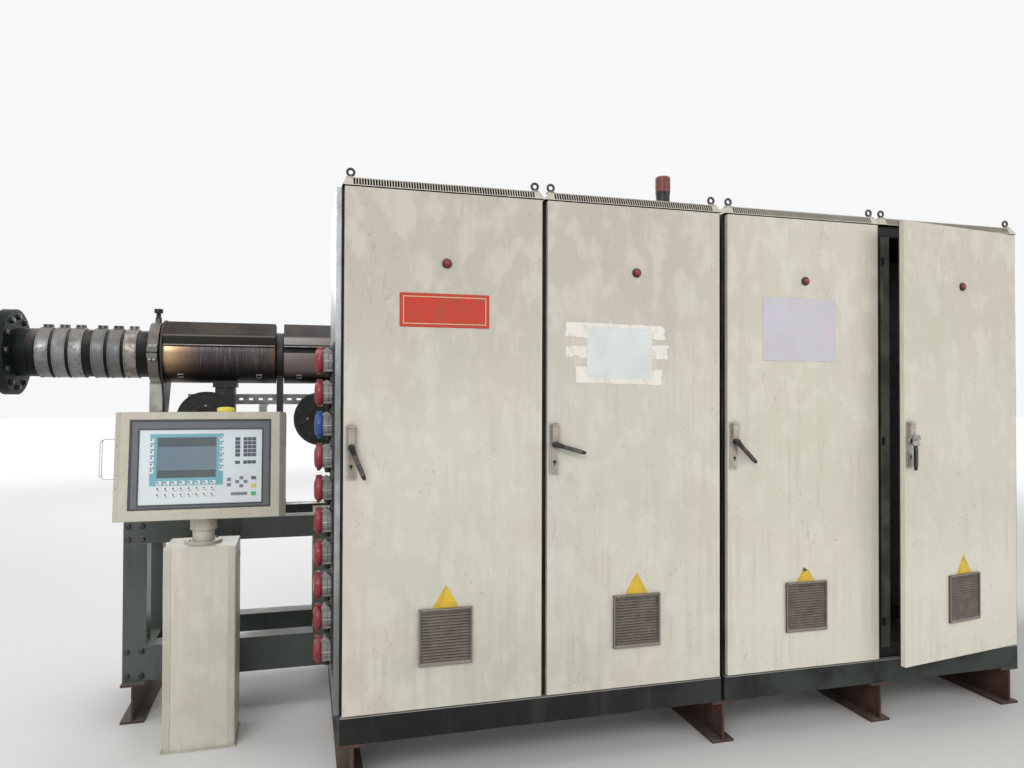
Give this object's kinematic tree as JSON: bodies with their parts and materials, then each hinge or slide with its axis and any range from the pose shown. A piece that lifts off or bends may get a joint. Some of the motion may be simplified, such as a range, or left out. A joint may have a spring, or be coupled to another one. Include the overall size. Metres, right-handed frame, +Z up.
{
  "type": "plastic extruder",
  "caption": "Single screw plastic extruder with heated barrel, drive, base frame, control cabinet row and swivelling operator console.",
  "frame": {"origin": "on the floor under the middle of the part's bounding box", "axes": "+X along the screw from outlet to drive motor, +Y from the cabinet doors to the back of the machine, +Z up"},
  "size_m": [5.68, 1.7563, 2.501],
  "materials": {
    "primer_steel": "dull primer with rust",
    "dark_paint": "dark grey paint, worn",
    "cream_paint": "aged satin enamel",
    "zinc_sheet": "zinc plated, dull",
    "black_plastic": "matt moulded",
    "red_plastic": "moulded, semi gloss",
    "grey_plastic": "moulded",
    "brown_plastic": "moulded, dusty",
    "machine_paint": "dark machine paint, oily",
    "browned_steel": "heat browned sheet",
    "band_steel": "stained sheet steel",
    "support_steel": "bare machined steel",
    "black_paint": "black paint, dusty",
    "motor_paint": "painted casting",
    "guard_paint": "painted sheet",
    "bezel_grey": "matt",
    "panel_film": "membrane film",
    "screen_glass": "display window, dark",
    "bright_chrome": "bright",
    "yellow_plastic": "moulded"
  },
  "bodies": {
    "machine": {"cross_beams": "primer_steel", "plinth_frames": "dark_paint", "cabinet_floors": "dark_paint", "cabinet_posts": "dark_paint", "cabinet_roofs": "dark_paint", "roof_vent_caps": "cream_paint", "lifting_eyes": "zinc_sheet", "rear_panels": "cream_paint", "end_panels": "zinc_sheet", "mounting_plates": "zinc_sheet", "door_hinges": "dark_paint", "beacon_base": "black_plastic", "beacon_lens": "red_plastic", "socket_bodies": "grey_plastic", "socket_lids": "red_plastic", "base_rails": "machine_paint", "base_legs": "machine_paint", "barrel": "browned_steel", "outlet_flange": "browned_steel", "heater_bands": "band_steel", "barrel_supports": "support_steel", "zone_casings": "browned_steel", "zone_lids": "browned_steel", "zone_blowers": "black_paint", "cable_tray": "zinc_sheet", "feed_throat": "machine_paint", "feed_hopper": "band_steel", "gearbox": "machine_paint", "drive_motor": "motor_paint", "coupling_guard": "guard_paint", "console_pedestal": "cream_paint"},
    "door_leaf_1": {"door_1": "cream_paint", "door_lamp_1": "red_plastic", "door_grille_1": "brown_plastic", "latch_plate_1": "zinc_sheet"},
    "door_leaf_2": {"door_2": "cream_paint", "door_lamp_2": "red_plastic", "door_grille_2": "brown_plastic", "latch_plate_2": "zinc_sheet"},
    "door_leaf_3": {"door_3": "cream_paint", "door_lamp_3": "red_plastic", "door_grille_3": "brown_plastic", "latch_plate_3": "zinc_sheet"},
    "door_leaf_4": {"door_4": "cream_paint", "door_lamp_4": "red_plastic", "door_grille_4": "brown_plastic", "latch_plate_4": "zinc_sheet"},
    "door_lever_1": {"lever_1": "black_plastic"},
    "door_lever_2": {"lever_2": "black_plastic"},
    "door_lever_3": {"lever_3": "black_plastic"},
    "door_lever_4": {"lever_4": "black_plastic"},
    "console": {"console_box": "cream_paint", "console_bezel": "bezel_grey", "console_panel": "panel_film", "console_screen": "screen_glass", "console_keys": "panel_film", "console_handle": "bright_chrome", "console_cap": "yellow_plastic"}
  },
  "joints": [
    {"name": "door_1_hinge", "type": "hinge", "parent": "machine", "child": "door_leaf_1", "pos_m": [-0.579, -0.702, 1.2775], "axis": [0, 0, 1], "range_deg": [0, 100]},
    {"name": "door_2_hinge", "type": "hinge", "parent": "machine", "child": "door_leaf_2", "pos_m": [0.221, -0.702, 1.2775], "axis": [0, 0, 1], "range_deg": [0, 100]},
    {"name": "door_3_hinge", "type": "hinge", "parent": "machine", "child": "door_leaf_3", "pos_m": [1.037, -0.702, 1.2775], "axis": [0, 0, 1], "range_deg": [0, 100]},
    {"name": "door_4_hinge", "type": "hinge", "parent": "machine", "child": "door_leaf_4", "pos_m": [1.837, -0.702, 1.2775], "axis": [0, 0, 1], "range_deg": [-9, 91]},
    {"name": "lever_1_pivot", "type": "hinge", "parent": "door_leaf_1", "child": "door_lever_1", "pos_m": [-1.321, -0.712, 1.288], "axis": [0, -1, 0], "range_deg": [-22, 68]},
    {"name": "lever_2_pivot", "type": "hinge", "parent": "door_leaf_2", "child": "door_lever_2", "pos_m": [-0.521, -0.712, 1.288], "axis": [0, -1, 0], "range_deg": [-74, 16]},
    {"name": "lever_3_pivot", "type": "hinge", "parent": "door_leaf_3", "child": "door_lever_3", "pos_m": [0.295, -0.712, 1.288], "axis": [0, -1, 0], "range_deg": [-45, 45]},
    {"name": "lever_4_pivot", "type": "hinge", "parent": "door_leaf_4", "child": "door_lever_4", "pos_m": [1.1057, -0.82795, 1.288], "axis": [0.1564, -0.9877, 0], "range_deg": [0, 90]},
    {"name": "console_swivel", "type": "hinge", "parent": "machine", "child": "console", "pos_m": [-1.907, -0.085, 0.95], "axis": [0, 0, 1], "range_deg": [-45, 45]}
  ]
}
